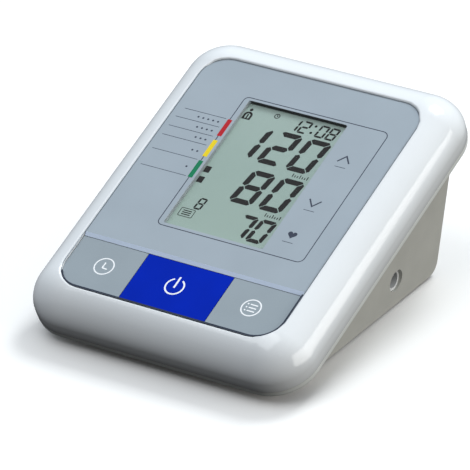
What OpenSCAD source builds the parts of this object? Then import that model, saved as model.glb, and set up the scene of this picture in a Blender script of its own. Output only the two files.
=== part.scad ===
// Desktop blood pressure monitor: a sloping display face on a wedge base.
// Millimetres. +X is to the user's right, +Y is to the rear, +Z is up.
// The origin is under the middle of the unit, on the table.
// Inner pieces that lie along the face are drawn in the face's own frame:
// x across, y up the slope from the front edge of the grey inset, z out of it.

/* [Face] */
// Slope of the face above the table, in degrees
face_tilt = 22; // [20:1:25]
// Width of the grey inset, which holds the display and the keys
inset_w = 92; // [90:1:98]
// Length of the grey inset up the slope
inset_l = 115.6; // [112:0.1:122]
// Corner radius of the grey inset
inset_r = 10; // [8:0.5:12]
// Running gap around the panel and the keys
fit_gap = 0.25; // [0.15:0.05:0.35]

/* [Housing] */
// Width of the white rim at the sides of the inset
rim_side = 11.7; // [11:0.1:13]
// Width of the white rim in front of the inset
rim_front = 11; // [10.5:0.1:13]
// Width of the white rim behind the inset
rim_rear = 13.5; // [13:0.1:15]
// Outer corner radius of the white rim, seen along the face normal
body_r = 16.7; // [16:0.1:19]
// Height of the rim's crest above the inset
rim_rise = 0.9; // [0.5:0.1:1.5]
// How far in from its edge the rim starts to fall away
rim_a = 14.7; // [14.5:0.1:15.5]
// How far below its crest the rim turns upright
rim_b = 12.4; // [10:0.1:14]
// Roundness of the rim: 2 is an ellipse, more is squarer
rim_power = 1.8; // [1.6:0.1:2.4]
// Depth of the parting line below the inset
rim_depth = 15.5; // [15:0.1:18]
// Height of the rear case's lip below the parting line
lip_h = 2.9; // [2.5:0.1:4]
// Wall of the mouldings
wall = 2.2; // [1.8:0.1:2.5]

/* [Base] */
// Clearance of the front lip above the table
front_gap = 2.3; // [1.5:0.1:4]
// How far in from the rim's side the base meets the table
sole_in = 10.2; // [9:0.1:11.5]
// Sideways lean of the base's side walls, as a slope
side_lean = 0.10; // [0.06:0.01:0.12]
// Backward lean of the base's rear wall, as a slope
rear_lean = 0.11; // [0.08:0.01:0.15]
// Overhang of the tray behind the base, along the face
rear_overhang = 13.4; // [12.5:0.1:14.5]
// Overhang of the tray in front of the base, along the face
front_overhang = 17; // [16:0.5:20]
// Radius of the base's upright rear corners
base_r = 2; // [1:0.1:3]
// Radius of the base's lower rear edge
heel_r = 5.5; // [4.5:0.5:6.5]
// Width of the small bevel round the sole
sole_edge = 0.5; // [0.3:0.1:0.8]
// Height of the rubber feet below the sole
foot_h = 0.55; // [0.4:0.05:1]
// Radius of a rubber foot
foot_r = 3.2; // [2.6:0.1:3.4]

/* [Panel and keys] */
// Thickness of the display panel
panel_t = 1.3; // [1.2:0.1:1.8]
// Length of the keys up the slope
key_l = 22.2; // [20:0.1:24]
// How far the keys lie below the display panel
key_step = 0.8; // [0.5:0.1:1]
// Thickness of a key
key_t = 2.3; // [2.1:0.1:2.5]
// Width of the blue key in the middle
power_key_w = 35.8; // [30:0.1:42]
// Sideways place of the blue key's middle
power_key_x = -0.2; // [-1:0.1:1]
// Travel of a key
key_travel = 0.5; // [0.3:0.05:0.55]
// Width of the display window's hole
window_w = 41.8; // [38:0.1:46]
// Panel in front of the display window
window_front = 14.1; // [12:0.1:16]
// Panel behind the display window
window_back = 16.4; // [14:0.1:18]
// Thickness of the display glass
glass_t = 2.8; // [2.4:0.1:3]

/* [Circuit board] */
// Distance from the inset's ends to the ends of the board
board_in = 5.3; // [5:0.1:7]
// Distance from the board's sides to its screws
board_screw_in = 2.6; // [2.4:0.1:3]
// Thickness of the circuit board
board_t = 1.6; // [1.2:0.1:1.8]
// Depth of the board's upper face below the inset
board_depth = 8.6; // [8.4:0.1:9]

/* [Batteries] */
// Diameter of one cell
cell_d = 14.2; // [13.8:0.1:14.4]
// Length of one cell with its button
cell_l = 50.2; // [49:0.1:50.5]
// Number of cells side by side
cell_count = 4; // [3:1:4]
// Sideways place of the battery well's middle
well_x = -8; // [-9:0.5:-7]
// Room at the ends of a cell for the contacts
contact_room = 4.8; // [4.4:0.1:5.2]
// Height of the battery door's rear upstand above the table
door_up = 12; // [10:0.5:14]

/* [Air system] */
// Height of the hose socket above the table
socket_z = 11.4; // [11:0.1:12.4]
// Distance of the hose socket in front of the base's rear edge
socket_back = 30; // [29.5:0.1:31]
// Radius of the opening in the side wall
socket_mouth_r = 4.2; // [4:0.1:4.6]
// Radius of the bore that takes the hose plug
socket_bore_r = 3.1; // [2.8:0.1:3.3]
// Depth of the bore that takes the hose plug
socket_bore_l = 9; // [8:0.5:9]
// Radius of the pump motor
pump_r = 12; // [11.5:0.1:12.2]
// Length of the pump motor
motor_l = 31; // [28:0.5:32]
// Length of the pump's head
head_l = 27; // [24:0.5:28]
// Inner radius of the air tubes
tube_in_r = 1.5; // [1.2:0.1:1.6]
// Outer radius of the air tubes
tube_r = 2.5; // [2.3:0.1:2.7]
// Radius of the air tubes' bends
tube_bend = 5; // [4.5:0.1:5]

/* [Screws] */
// Shank radius of the housing screws
case_screw_r = 1.4; // [1.2:0.1:1.5]
// Shank radius of the board screws
board_screw_r = 0.9; // [0.8:0.1:1]

/* [Hidden] */
$fn = 48;
hull_fn = 64;
slim = 0.05;
over = 1;

half_w = inset_w / 2 + rim_side;
front_y = -rim_front;
rear_y = inset_l + rim_rear;
case_depth = rim_depth + lip_h;
ledge_t = 2;
ledge_w = 5;

// Place of the face frame: the front lip clears the table, the unit is centred on Y
function slope_y(y, z) = y * cos(face_tilt) - z * sin(face_tilt);
function slope_z(y, z) = y * sin(face_tilt) + z * cos(face_tilt);
face_z = front_gap - slope_z(front_y, -case_depth);

rim_steps = 18;
function rim_in(t, a) = a * (1 - pow(cos(t), 2 / rim_power));
function rim_fall(t, b) = b * (1 - pow(sin(t), 2 / rim_power));
function rim_curve(side) = [
    for (i = [0 : rim_steps])
    let (t = 90 - 90 * i / rim_steps)
    [side + rim_in(t, rim_a - side), rim_rise - side - rim_fall(t, rim_b - side)]
];
lip_back = 0.25;
lip_r = 1.5;
lip_curve = [
    for (i = [0 : 4])
    let (t = 22.5 * i)
    [lip_back + lip_r * (1 - cos(t)), -case_depth + lip_r * (1 - sin(t))]
];
// Height of the rim's outer surface at a distance in from the outline
function rim_z(d) = rim_rise - rim_fall(acos(pow(1 - d / rim_a, rim_power / 2)), rim_b);
// Height of the rim's underside at a distance in from the outline
function rim_under(d) =
    let (t = acos(pow(1 - (d - wall) / (rim_a - wall), rim_power / 2)))
    rim_rise - wall - rim_fall(t, rim_b - wall);
front_reach = min([for (p = rim_curve(0)) slope_y(front_y + p.x, p.y)]);
rear_reach = max([for (p = lip_curve) slope_y(rear_y - p.x, p.y)]);
face_y = -(front_reach + rear_reach) / 2;
function world_y(y, z) = face_y + slope_y(y, z);
function world_z(y, z) = face_z + slope_z(y, z);
function face_of(p) = [
    p.x,
    (p.y - face_y) * cos(face_tilt) + (p.z - face_z) * sin(face_tilt),
    -(p.y - face_y) * sin(face_tilt) + (p.z - face_z) * cos(face_tilt)
];
face_normal = [0, -sin(face_tilt), cos(face_tilt)];

// Base: its walls lean out from the sole up to the tray
sole_w = 2 * (half_w - sole_in);
base_back = rear_y - rear_overhang;
base_front = front_y + front_overhang;
base_front_r = 3.5;
sole_front_r = 3;
ring_z = -case_depth + wall / 3;
sole_rear = world_y(base_back, ring_z) - rear_lean * (world_z(base_back, ring_z) - foot_h);
sole_front = world_y(base_front, ring_z) + 1.3;
sole_top = foot_h + wall;
function base_half(z) = sole_w / 2 + side_lean * (z - foot_h);
function base_rear(z) = sole_rear + rear_lean * (z - foot_h);
foot_x = sole_w / 2 - foot_r - 2;
foot_rear_y = sole_rear - heel_r - foot_r - 5;
foot_front_y = sole_front + foot_r + 5;
foot_sink = 0.8;

// Display
window_x = 0.3;
panel_y = key_l + 2 * fit_gap;
window_l = inset_l - panel_y - window_front - window_back;
window_y = panel_y + window_front + window_l / 2;
bevel_w = 1.3;
lcd_gap = 0.2;
lcd_w = window_w + 8;
lcd_l = window_l + 8;
lcd_top = -panel_t - lcd_gap;
lcd_rim = 1.8;
zebra_w = 2;
zebra_in = 1.4;

// Keys and switches
key_top = -key_step;
key_low = key_top - key_t;
key_lip = 1;
key_lip_top = rim_under(min(rim_front, rim_side) - key_lip) - fit_gap;
key_split = fit_gap / 2;
power_x0 = power_key_x - power_key_w / 2;
power_x1 = power_key_x + power_key_w / 2;
clock_x = (power_x0 - inset_w / 2) / 2;
memory_x = (power_x1 + inset_w / 2) / 2;
key_mid = fit_gap + key_l / 2;
switch_w = 6;
switch_h = 3.1;
switch_button_h = 0.7;
switch_top = -board_depth + switch_h + switch_button_h;
foot_gap = key_travel + 0.1;

// Circuit board
board_l = inset_l - 2 * board_in;
board_low = -board_depth - board_t;
post_r = 3.1;
post_x = inset_w / 2 - ledge_w - post_r + 0.5;
post_in = 4.2;
post_ys = [panel_y + post_in, board_in + board_l - post_in];
board_w = 2 * (post_x + board_screw_in);
board_hole_r = board_screw_r + 0.3;

// Housing screws
tower_r = 4;
boss_r = 3.5;
boss_low = -rim_depth + 2.1;
boss_hole = 6.6;
tongue_gap = 0.15;
tongue_thick = 1.3;
tongue_up = 1.8;
screw_head_r = 2.7;
screw_sink = 2.5;
screw_front = [half_w - body_r + 5, front_y + 9];
screw_rear = [half_w - body_r - 1, rear_y - wall - tongue_gap - tower_r];
case_screw_spots = [
    for (p = [screw_front, screw_rear], s = [-1, 1]) [s * p.x, p.y]
];
// Where a boss under the rim stops, half a millimetre inside the outer surface
function boss_top(p) =
    let (c = [half_w - body_r, p.y < 0 ? front_y + body_r : rear_y - body_r])
    let (in = body_r - norm([max(abs(p.x) - c.x, 0), p.y - c.y]))
    rim_z(in - boss_r) - 0.5;

// Battery well
cell_pitch = cell_d + 0.5;
cell_low = sole_top + 0.4;
well_w = cell_l + contact_room;
well_wall = 2.6;
well_top = cell_low + cell_d + 0.4;
well_roof = 1.5;
well_rear = sole_rear - wall - 1;
well_front = well_rear - cell_count * cell_pitch - 0.4;
shelf_z = well_top + well_roof;
door_gap = 0.2;
tongue_w = 1.1;
tongue_t = 1;
door_front = well_front + 1;
door_end = sole_rear - heel_r - 1;
contact_t = 0.4;
spring_r = 2.4;
grip_count = 5;
grip_pitch = 2.4;
grip_deep = 0.7;

// Air system
socket_y = sole_rear - socket_back;
socket_face = base_half(socket_z) - 1.3;
socket_flange_x = base_half(socket_z - 6) - wall - 0.3;
socket_end = socket_flange_x - 9;
socket_body_r = socket_bore_r + 1.3;
socket_flange_r = socket_mouth_r + 1.6;
cradle_w = 2 * socket_body_r + 4.2;
barb_l = 3.4;
barb_r = tube_in_r - slim;
barb_in_r = 0.8;
cradle_t = 1.5;
pump_z = shelf_z + cradle_t + pump_r;
pump_y = base_rear(pump_z) - wall - 1.6 - pump_r;
head_w = 2 * pump_r - 2;
pump_x1 = well_x + well_w / 2 - 4;
pump_x0 = pump_x1 - head_l - motor_l;
manifold = [well_x + well_w / 2 + well_wall + 4.5, socket_y, shelf_z + 6.5];
manifold_r = 2.8;
outlet_x = pump_x1 - head_l / 3;
outlet_barb_l = min(barb_l, pump_y - head_w / 2 - socket_y - tube_bend) - 0.3;
valve_w = 14;
valve_l = 15;
valve_h = 12;
valve_y = pump_y - 6;
sensor = face_of(manifold);
sensor_w = 8;
sensor_h = 5;
sensor_tip = board_low - sensor_h - barb_l + 0.4;
way_l = manifold_r + barb_l + 0.8;
sensor_way_l = min(way_l, sensor_tip - sensor.z - 1);
socket_barb_l = min(barb_l, socket_end - manifold.x - tube_bend - 0.4);
tube_runs = [
    [[socket_end - 0.2, socket_y, socket_z], [manifold.x, socket_y, socket_z],
     manifold - [0, 0, manifold_r + 0.2]],
    [manifold + [0, manifold_r + 0.2, 0], [manifold.x, valve_y - 0.2, manifold.z]],
    [manifold - [manifold_r + 0.2, 0, 0], [outlet_x, socket_y, manifold.z],
     [outlet_x, pump_y - head_w / 2 - 0.2, manifold.z]],
    [manifold + face_normal * (manifold_r * (cos(face_tilt) + sin(face_tilt)) + 0.2),
     manifold + face_normal * (board_low - sensor_h - 0.2 - sensor.z)]
];

// Helpers
module on_face() {
    translate([0, face_y, face_z]) rotate([face_tilt, 0, 0]) children();
}

module rounded_rect(w, y0, y1, r) {
    hw = w / 2 - r;
    union() {
        translate([-w / 2, y0 + r]) square([w, y1 - y0 - 2 * r]);
        translate([-hw, y0]) square([2 * hw, y1 - y0]);
        for (x = [-hw, hw], y = [y0 + r, y1 - r]) translate([x, y]) circle(r = r, $fn = 96);
    }
}

module inset_shape(grow) {
    rounded_rect(inset_w + 2 * grow, -grow, inset_l + grow, inset_r + grow);
}

// A section of [distance in from the outline, height] swept round the tray's outline
module rim_ring(section) {
    cx = half_w - body_r;
    corners = [
        [cx, rear_y - body_r, rear_y - front_y - 2 * body_r],
        [-cx, rear_y - body_r, 2 * cx],
        [-cx, front_y + body_r, rear_y - front_y - 2 * body_r],
        [cx, front_y + body_r, 2 * cx]
    ];
    shape = [for (p = section) [body_r - p.x, p.y]];
    for (k = [0 : 3]) translate([corners[k].x, corners[k].y, 0]) rotate([0, 0, 90 * k]) {
        rotate_extrude(angle = 90, $fn = 96) polygon(shape);
        rotate([90, 0, 0]) linear_extrude(corners[k].z) polygon(shape);
    }
}

function turned(list) = [for (i = [len(list) - 1 : -1 : 0]) list[i]];

// The wedge's form, drawn in by the same amount all round
module base_form(shrink, top_z) {
    ends = [[base_back, -1, base_r], [base_front, 1, base_front_r]];
    heel_z = foot_h + heel_r;
    heel_y = base_rear(heel_z) - heel_r * sqrt(1 + rear_lean * rear_lean);
    hull() {
        on_face() for (s = [-1, 1], e = ends) {
            r = max(e[2] - shrink, 4 * slim);
            half = base_half(world_z(e[0], ring_z)) - shrink - r;
            translate([s * half, e[0] + e[1] * (shrink + r), ring_z])
                cylinder(r = r, h = top_z - ring_z, $fn = hull_fn);
        }
        for (s = [-1, 1], bevel = [0, sole_edge]) {
            rest = sole_edge - bevel;
            translate([s * (base_half(heel_z) - shrink - bevel), heel_y, heel_z])
                rotate([0, s * (90 + atan(side_lean)), 0]) translate([0, 0, -slim])
                    cylinder(r = heel_r - shrink - rest, h = slim, $fn = hull_fn);
            z = foot_h + shrink + rest;
            translate([s * (base_half(z) - sole_front_r), sole_front + sole_front_r, z])
                cylinder(r = sole_front_r - shrink - bevel, h = slim, $fn = hull_fn);
        }
    }
}

function unit(v) = v / norm(v);

// A round bar from one point to another
module bar(a, b, r) {
    w = unit(b - a);
    u = unit(abs(w.x) < 0.9 ? cross([1, 0, 0], w) : cross([0, 1, 0], w));
    v = cross(w, u);
    multmatrix([
        [u.x, v.x, w.x, a.x], [u.y, v.y, w.y, a.y], [u.z, v.z, w.z, a.z], [0, 0, 0, 1]
    ]) cylinder(r = r, h = norm(b - a));
}

// A round bar along points, with a bend of the same radius at each inner point
module run(points, r, past = 0) {
    last = len(points) - 1;
    dirs = [for (i = [0 : last - 1]) unit(points[i + 1] - points[i])];
    turns = last > 1 ? [for (i = [1 : last - 1]) acos(dirs[i - 1] * dirs[i])] : [];
    cuts = [for (a = turns) tube_bend * tan(a / 2)];
    for (i = [0 : last - 1]) {
        from = i == 0 ? -past : cuts[i - 1];
        to = i == last - 1 ? -past : cuts[i];
        bar(points[i] + dirs[i] * from, points[i + 1] - dirs[i] * to, r);
    }
    if (last > 1) for (i = [1 : last - 1]) {
        u = dirs[i - 1];
        m = unit(dirs[i] - (dirs[i] * u) * u);
        n = cross(u, m);
        c = points[i] - u * cuts[i - 1] + m * tube_bend;
        multmatrix([
            [-m.x, u.x, n.x, c.x], [-m.y, u.y, n.y, c.y], [-m.z, u.z, n.z, c.z], [0, 0, 0, 1]
        ]) rotate_extrude(angle = turns[i - 1]) translate([tube_bend, 0]) circle(r = r);
    }
}

// Housing
module front_frame() {
    crest_in = min(rim_a + 0.8, body_r - 0.3);
    shell = concat(
        [[crest_in, rim_rise - wall], [crest_in, rim_rise]],
        rim_curve(0),
        [[0, 0.3 - rim_depth], [0.3, -rim_depth], [wall, -rim_depth]],
        turned(rim_curve(wall))
    );
    seat_w = 1.5;
    bridge_y = panel_y + 1.5;
    bridge_w = min(ledge_w, window_y - lcd_l / 2 - lcd_rim - 0.4 - bridge_y);
    color("whitesmoke") on_face() difference() {
        union() {
            difference() {
                rim_ring(shell);
                translate([0, 0, -rim_depth]) linear_extrude(rim_depth + 2 * rim_rise + over)
                    inset_shape(0);
            }
            difference() {
                translate([0, 0, -panel_t - ledge_t]) linear_extrude(panel_t + ledge_t - wall / 3)
                    inset_shape(seat_w);
                translate([0, 0, -panel_t]) linear_extrude(panel_t + over) inset_shape(0);
                translate([0, 0, -panel_t - ledge_t - over]) linear_extrude(ledge_t + 2 * over)
                    inset_shape(-ledge_w);
                translate([-half_w, front_y, -panel_t - ledge_t - over])
                    cube([2 * half_w, bridge_y - front_y, panel_t + ledge_t + 2 * over]);
            }
            translate([-inset_w / 2 - seat_w / 2, bridge_y, -panel_t - ledge_t])
                cube([inset_w + seat_w, bridge_w, ledge_t]);
            for (x = [-post_x, post_x], y = post_ys)
                translate([x, y, -board_depth]) cylinder(r = post_r, h = board_depth - panel_t);
            for (p = case_screw_spots)
                translate([p.x, p.y, boss_low]) cylinder(r = boss_r, h = boss_top(p) - boss_low);
        }
        for (x = [-post_x, post_x], y = post_ys)
            translate([x, y, -board_depth - over]) cylinder(r = board_screw_r + slim, h = 5 + over);
        for (p = case_screw_spots)
            translate([p.x, p.y, boss_low - over])
                cylinder(r = case_screw_r + slim, h = boss_hole + over);
    }
}

// The battery well and the shelf beside it, whose rear ends are sunk in the rear wall
module battery_well() {
    heel_z = foot_h + heel_r;
    in = wall / 2;
    translate([well_x - well_w / 2 - well_wall, 0, 0]) rotate([90, 0, 90])
        linear_extrude(well_w + 2 * well_wall) polygon([
            [well_front - well_wall, sole_top - slim],
            [sole_rear - heel_r, sole_top - slim],
            [base_rear(heel_z) - in, heel_z],
            [base_rear(shelf_z) - in, shelf_z],
            [well_front - well_wall, shelf_z]
        ]);
    translate([well_x, 0, 0]) rotate([90, 0, 90])
        linear_extrude(manifold.x - well_x + valve_w / 2 + 2) polygon([
            [valve_y - 2, well_top],
            [base_rear(well_top) - in, well_top],
            [base_rear(shelf_z) - in, shelf_z],
            [valve_y - 2, shelf_z]
        ]);
}

module door_hole(gap) {
    x0 = well_x - well_w / 2;
    translate([x0 + gap, door_front + gap, -over])
        cube([well_w - 2 * gap, door_end - door_front + 1, over + sole_top + slim]);
    side = tongue_w + 0.6;
    translate([x0 - side + gap, door_end + gap, -over])
        cube([well_w + 2 * side - 2 * gap, 2 * heel_r + rear_overhang, over + door_up - gap]);
}

module rear_case() {
    tongue_in = wall + tongue_gap;
    tongue_top = -rim_depth + tongue_up;
    lip = concat(
        [[lip_back, -rim_depth]],
        lip_curve,
        [[tongue_in + tongue_thick, -case_depth], [tongue_in + tongue_thick, tongue_top],
         [tongue_in, tongue_top], [tongue_in, -rim_depth]]
    );
    groove_w = tongue_w + 0.2;
    color("darkgray") difference() {
        union() {
            difference() {
                union() {
                    on_face() {
                        rim_ring(lip);
                        translate([0, 0, -case_depth]) linear_extrude(wall)
                            rounded_rect(2 * half_w - 5, front_y + 2.5, rear_y - 2.5, body_r - 2.5);
                    }
                    base_form(0, -case_depth + wall / 2);
                }
                base_form(wall, -case_depth + wall + over);
            }
            battery_well();
            on_face() for (p = case_screw_spots)
                translate([p.x, p.y, -case_depth]) cylinder(r = tower_r, h = case_depth + boss_low - 0.1);
            translate([socket_flange_x - 6, socket_y - cradle_w / 2, sole_top - slim])
                cube([2.5, cradle_w, socket_z - sole_top + slim]);
        }
        translate([well_x - well_w / 2, well_front, sole_top])
            cube([well_w, well_rear - well_front + 1.8, well_top - sole_top]);
        door_hole(0);
        translate([well_x - well_w / 2 - groove_w, door_front - 0.2, sole_top])
            cube([well_w + 2 * groove_w, door_end - door_front + 1, tongue_t + 0.2]);
        on_face() for (p = case_screw_spots) {
            translate([p.x, p.y, -case_depth - over]) cylinder(r = case_screw_r + 0.2, h = 8);
            translate([p.x, p.y, -case_depth - over])
                cylinder(r = screw_head_r + 0.2, h = screw_sink + over);
        }
        translate([socket_end, socket_y, socket_z]) rotate([0, 90, 0])
            cylinder(r = socket_body_r + slim, h = socket_flange_x - socket_end - 1);
        translate([socket_flange_x, socket_y, socket_z]) rotate([0, 90, 0])
            cylinder(r = socket_mouth_r, h = 12);
        for (s = [-1, 1], y = [foot_front_y, foot_rear_y])
            translate([s * foot_x, y, -over]) cylinder(r = foot_r + slim, h = over + foot_h + foot_sink);
    }
}

// Display stack
module display_panel() {
    y1 = inset_l - fit_gap;
    color("lightsteelblue") on_face() difference() {
        intersection() {
            translate([0, 0, -panel_t]) linear_extrude(panel_t) inset_shape(-fit_gap);
            translate([-inset_w / 2, 0, 0]) rotate([90, 0, 90]) linear_extrude(inset_w) polygon([
                [panel_y, -panel_t], [panel_y, key_top], [panel_y + bevel_w, 0], [y1, 0], [y1, -panel_t]
            ]);
        }
        translate([window_x - window_w / 2, window_y - window_l / 2, -panel_t - over])
            cube([window_w, window_l, panel_t + 2 * over]);
    }
}

module display_window() {
    w = window_w - 0.2;
    l = window_l - 0.2;
    color("white", 0.4) on_face() translate([window_x - w / 2, window_y - l / 2, -panel_t + 0.2])
        cube([w, l, panel_t - 0.2]);
}

module lcd_glass() {
    color("darkseagreen") on_face()
        translate([window_x - lcd_w / 2, window_y - lcd_l / 2, lcd_top - glass_t])
            cube([lcd_w, lcd_l, glass_t]);
}

module lcd_frame() {
    w = lcd_w + 2 * lcd_rim;
    l = lcd_l + 2 * lcd_rim;
    h = board_depth + lcd_top;
    color("gainsboro") on_face() translate([window_x, window_y, -board_depth]) difference() {
        translate([-w / 2, -l / 2, 0]) cube([w, l, h]);
        translate([-lcd_w / 2 - 0.1, -lcd_l / 2 - 0.1, h - glass_t])
            cube([lcd_w + 0.2, lcd_l + 0.2, glass_t + over]);
        translate([-lcd_w / 2 + 5, -lcd_l / 2 + 5, -over]) cube([lcd_w - 10, lcd_l - 10, h]);
        for (s = [-1, 1])
            translate([s * (lcd_w / 2 - zebra_in - zebra_w / 2) - zebra_w / 2 - 0.1, -lcd_l / 2 + 4, -over])
                cube([zebra_w + 0.2, lcd_l - 8, h]);
    }
}

module zebra_strips() {
    h = board_depth + lcd_top - glass_t;
    color("dimgray") on_face() for (s = [-1, 1])
        translate([window_x + s * (lcd_w / 2 - zebra_in - zebra_w / 2) - zebra_w / 2,
                   window_y - lcd_l / 2 + 4.2, -board_depth])
            cube([zebra_w, lcd_l - 8.4, h]);
}

// Keys: a cap that shows, a lip that stays under the rim, and a foot over its switch
module key(x0, x1, foot_x) {
    on_face() {
        translate([0, 0, key_low]) linear_extrude(key_t) intersection() {
            inset_shape(-fit_gap);
            translate([x0, 0]) square([x1 - x0, fit_gap + key_l]);
        }
        translate([0, 0, key_low]) linear_extrude(key_lip_top - key_low) intersection() {
            inset_shape(key_lip);
            translate([x0, -key_lip]) square([x1 - x0, key_l + 2 * key_lip]);
        }
        translate([foot_x, key_mid, switch_top + foot_gap])
            cylinder(r = 2.2, h = key_low - switch_top - foot_gap + slim);
    }
}

module power_key() {
    color("mediumblue") key(power_x0 + key_split, power_x1 - key_split, power_key_x);
}

module clock_key() {
    color("slategray") key(-half_w, power_x0 - key_split, clock_x);
}

module memory_key() {
    color("slategray") key(power_x1 + key_split, half_w, memory_x);
}

module tact_switches() {
    color("dimgray") on_face() for (x = [clock_x, power_key_x, memory_x])
        translate([x, key_mid, -board_depth]) {
            translate([-switch_w / 2, -switch_w / 2, 0]) cube([switch_w, switch_w, switch_h]);
            cylinder(r = 1.7, h = switch_h + switch_button_h);
        }
}

// Circuit board and what is on it
module circuit_board() {
    color("seagreen") on_face() difference() {
        translate([-board_w / 2, board_in, board_low]) cube([board_w, board_l, board_t]);
        for (x = [-post_x, post_x], y = post_ys)
            translate([x, y, board_low - over]) cylinder(r = board_hole_r, h = board_t + 2 * over);
    }
}

// Each row: place across, place up the slope, width, length, height
chips = [
    [0, 55, 12, 12, 1.6], [16, 40, 6, 10, 1.5], [-16, 42, 5, 6, 1.5], [20, 60, 3, 8, 2.2],
    [-18, 30, 3, 1.6, 1], [-12, 30, 3, 1.6, 1], [-6, 30, 3, 1.6, 1], [0, 30, 3, 1.6, 1]
];
can_spots = [[-26, 46], [-26, 38]];
can_h = 6.5;
buzzer_spot = [-28, 60];
buzzer_h = 5.5;

module board_chips() {
    color("darkslategray") on_face() {
        for (c = chips) translate([c[0] - c[2] / 2, c[1] - c[3] / 2, board_low - c[4]])
            cube([c[2], c[3], c[4]]);
        for (p = can_spots) translate([p.x, p.y, board_low - can_h]) cylinder(r = 3, h = can_h);
    }
}

module buzzer() {
    color("black") on_face() translate([buzzer_spot.x, buzzer_spot.y, board_low - buzzer_h]) difference() {
        cylinder(r = 6, h = buzzer_h);
        translate([0, 0, -over]) cylinder(r = 1, h = 1 + over);
    }
}

module pressure_sensor() {
    color("silver") on_face() difference() {
        union() {
            translate([sensor.x - sensor_w / 2, sensor.y - sensor_w / 2, board_low - sensor_h])
                cube([sensor_w, sensor_w, sensor_h]);
            translate([sensor.x, sensor.y, sensor_tip])
                cylinder(r = barb_r, h = board_low - sensor_tip - 1);
        }
        translate([sensor.x, sensor.y, sensor_tip - over]) cylinder(r = barb_in_r, h = barb_l + 2);
    }
}

// Pump
module pump_motor() {
    color("silver") translate([pump_x0, pump_y, pump_z]) rotate([0, 90, 0]) {
        translate([0, 0, 1.5]) cylinder(r = pump_r, h = motor_l - 1.5);
        cylinder(r = 5, h = 2);
    }
}

module pump_head() {
    lid = 3;
    outlet = [outlet_x, pump_y, manifold.z];
    color("dimgray") difference() {
        union() {
            translate([pump_x0 + motor_l, pump_y, pump_z]) rotate([0, 90, 0])
                cylinder(r = head_w / 2, h = head_l - lid);
            translate([pump_x0 + motor_l + 5, pump_y - head_w / 2, pump_z - head_w / 2])
                cube([head_l - 5 - lid, head_w, head_w]);
            translate([pump_x1 - lid, pump_y, pump_z]) rotate([0, 90, 0])
                cylinder(r = head_w / 2, h = lid);
            bar(outlet, outlet - [0, head_w / 2 + outlet_barb_l, 0], barb_r);
        }
        bar(outlet - [0, 4, 0], outlet - [0, head_w / 2 + outlet_barb_l + over, 0], barb_in_r);
    }
}

module pump_cradle() {
    l = motor_l - 5;
    half = pump_r - 1.5;
    h = cradle_t + pump_r * 0.6;
    color("darkslategray") difference() {
        translate([pump_x0 + 3, pump_y - half, shelf_z]) cube([l, 2 * half, h]);
        translate([pump_x0, pump_y, pump_z]) rotate([0, 90, 0])
            cylinder(r = pump_r + slim, h = motor_l + 4);
    }
}

// Release valve
module valve_coil() {
    nose = [manifold.x, valve_y, manifold.z];
    color("peru") difference() {
        union() {
            translate(nose + [0, 1.2, 0]) rotate([-90, 0, 0]) cylinder(r = 4.6, h = valve_l - 2.6);
            bar(nose + [0, 2, 0], nose - [0, barb_l, 0], barb_r);
        }
        bar(nose + [0, 6, 0], nose - [0, barb_l + over, 0], barb_in_r);
    }
}

module valve_yoke() {
    plate = 1.2;
    color("lightgray") translate([manifold.x - valve_w / 2, valve_y, shelf_z]) difference() {
        cube([valve_w, valve_l, valve_h]);
        translate([-over, plate, plate]) cube([valve_w + 2 * over, valve_l - 2 * plate, valve_h]);
        translate([valve_w / 2, -over, manifold.z - shelf_z]) rotate([-90, 0, 0])
            cylinder(r = tube_in_r + slim, h = plate + 2 * over);
    }
}

// Air path
module air_manifold() {
    ways = [[0, 0, -way_l], [-way_l, 0, 0], [0, way_l, 0], face_normal * sensor_way_l];
    color("white") difference() {
        union() {
            translate(manifold) cube(2 * manifold_r, center = true);
            for (w = ways) bar(manifold + unit(w) * manifold_r * 0.7, manifold + w, barb_r);
        }
        translate(manifold) sphere(r = barb_in_r * 1.5);
        for (w = ways) bar(manifold + unit(w) * barb_in_r * 1.1, manifold + w + unit(w), barb_in_r);
    }
}

module air_tubes() {
    color("lightgray") for (points = tube_runs) difference() {
        run(points, tube_r);
        run(points, tube_in_r, over);
    }
}

// A round bar on the hose socket's axis
module along(x0, x1, r) {
    translate([x0, socket_y, socket_z]) rotate([0, 90, 0]) cylinder(r = r, h = x1 - x0);
}

module air_socket() {
    color("gray") difference() {
        union() {
            along(socket_flange_x - 1, socket_face, socket_mouth_r - 0.1);
            along(socket_flange_x - 1.5, socket_flange_x, socket_flange_r);
            along(socket_end, socket_flange_x - 1, socket_body_r);
            along(socket_end - socket_barb_l, socket_end + 1, barb_r);
        }
        along(socket_face - socket_bore_l, socket_face + over, socket_bore_r);
        along(socket_end - socket_barb_l - over, socket_face, barb_in_r);
    }
}

// Batteries
module battery_door() {
    grip_w = well_w / 2;
    rib_w = 1;
    color("darkgray") union() {
        difference() {
            intersection() {
                base_form(0, -case_depth + wall / 2);
                door_hole(door_gap);
            }
            base_form(wall, -case_depth + wall);
            for (i = [0 : grip_count - 1])
                translate([well_x - grip_w / 2, door_end - 3 - grip_pitch * i, -over])
                    cube([grip_w, grip_pitch / 2, over + foot_h + grip_deep]);
        }
        for (s = [-1, 1]) {
            edge = well_x + s * (well_w / 2 - door_gap);
            translate([edge - (s > 0 ? rib_w : 0), door_front + door_gap, sole_top - 0.4])
                cube([rib_w, door_end - door_front + 2, 0.5 + tongue_t]);
            out = tongue_w + door_gap;
            translate([edge - (s > 0 ? 0.5 : out), door_front + door_gap, sole_top + 0.1])
                cube([out + 0.5, door_end - door_front + 2, tongue_t]);
        }
    }
}

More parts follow.
